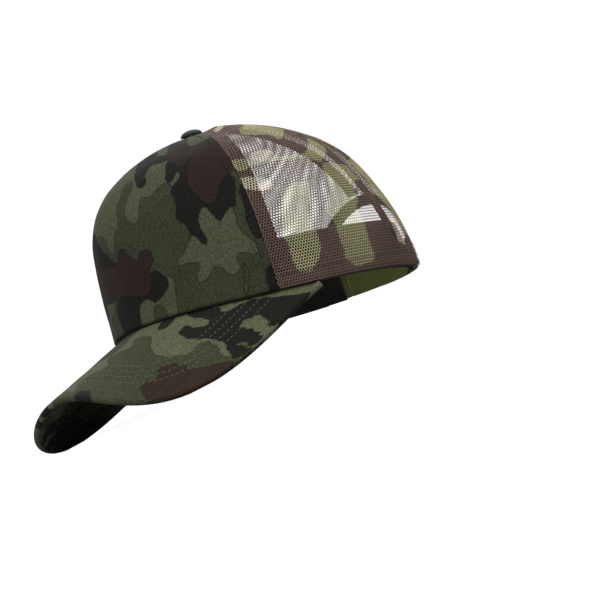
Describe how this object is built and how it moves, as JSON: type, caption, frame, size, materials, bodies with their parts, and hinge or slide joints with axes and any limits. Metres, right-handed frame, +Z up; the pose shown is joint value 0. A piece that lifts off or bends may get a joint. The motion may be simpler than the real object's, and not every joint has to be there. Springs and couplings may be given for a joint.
{
  "type": "trucker cap",
  "caption": "Trucker cap with a foam-backed cloth front, mesh side and back panels, a long arched brim, a covered button and a snap strap across an arched back opening.",
  "frame": {"origin": "middle of the cap's box at the height of its lowest points, the cap standing on a table on its two brim corners and the back of its lower edge", "axes": "+X the wearer's left, +Y towards the back of the head with the brim towards -Y, +Z up"},
  "size_m": [0.172, 0.2724, 0.1419],
  "materials": {
    "front_cloth": "camouflage print in two greens, brown and black, matt brushed cloth",
    "mesh": "open hexagonal net printed in brown, olive, cream and black",
    "foam": "thin dark foam lining",
    "tape": "woven binding tape and folded net, dark brown",
    "sweatband_cloth": "soft terry-backed band, near black",
    "brim_cloth": "camouflage print in olive, green, brown and black, with rows of stitching",
    "board": "plain pressed board, hidden",
    "button": "black cloth over a domed button",
    "tack_metal": "plain tack, hidden",
    "snap_plastic": "moulded olive-green plastic, slight sheen"
  },
  "bodies": {
    "crown": {"front_panel": "front_cloth", "front_foam": "foam", "side_panel_left": "mesh", "back_panel_left": "mesh", "hem_left": "tape", "seam_tape_front_left": "tape", "seam_tape_rear_left": "tape", "side_panel_right": "mesh", "back_panel_right": "mesh", "hem_right": "tape", "seam_tape_front_right": "tape", "seam_tape_rear_right": "tape", "seam_tape_back": "tape", "arch_binding": "tape", "sweatband": "sweatband_cloth", "brim_top_cover": "brim_cloth", "brim_board": "board", "brim_under_cover": "brim_cloth", "button_cap": "button", "button_rivet": "tack_metal", "strap_tab_left": "snap_plastic", "strap_tab_right": "snap_plastic"},
    "hole_strap": {"snap_strap_holes": "snap_plastic"},
    "peg_strap": {"snap_strap_pegs": "snap_plastic"}
  },
  "joints": [
    {"name": "hole_strap_swing", "type": "hinge", "parent": "crown", "child": "hole_strap", "pos_m": [0.03755, 0.12583, 0.01183], "axis": [0, -0.2189, -0.9757], "range_deg": [0, 75], "stiffness_Nm_per_rad": 0.01},
    {"name": "peg_strap_swing", "type": "hinge", "parent": "crown", "child": "peg_strap", "pos_m": [-0.03556, 0.12242, 0.01248], "axis": [0, -0.2189, -0.9757], "range_deg": [0, 40], "stiffness_Nm_per_rad": 0.01}
  ]
}
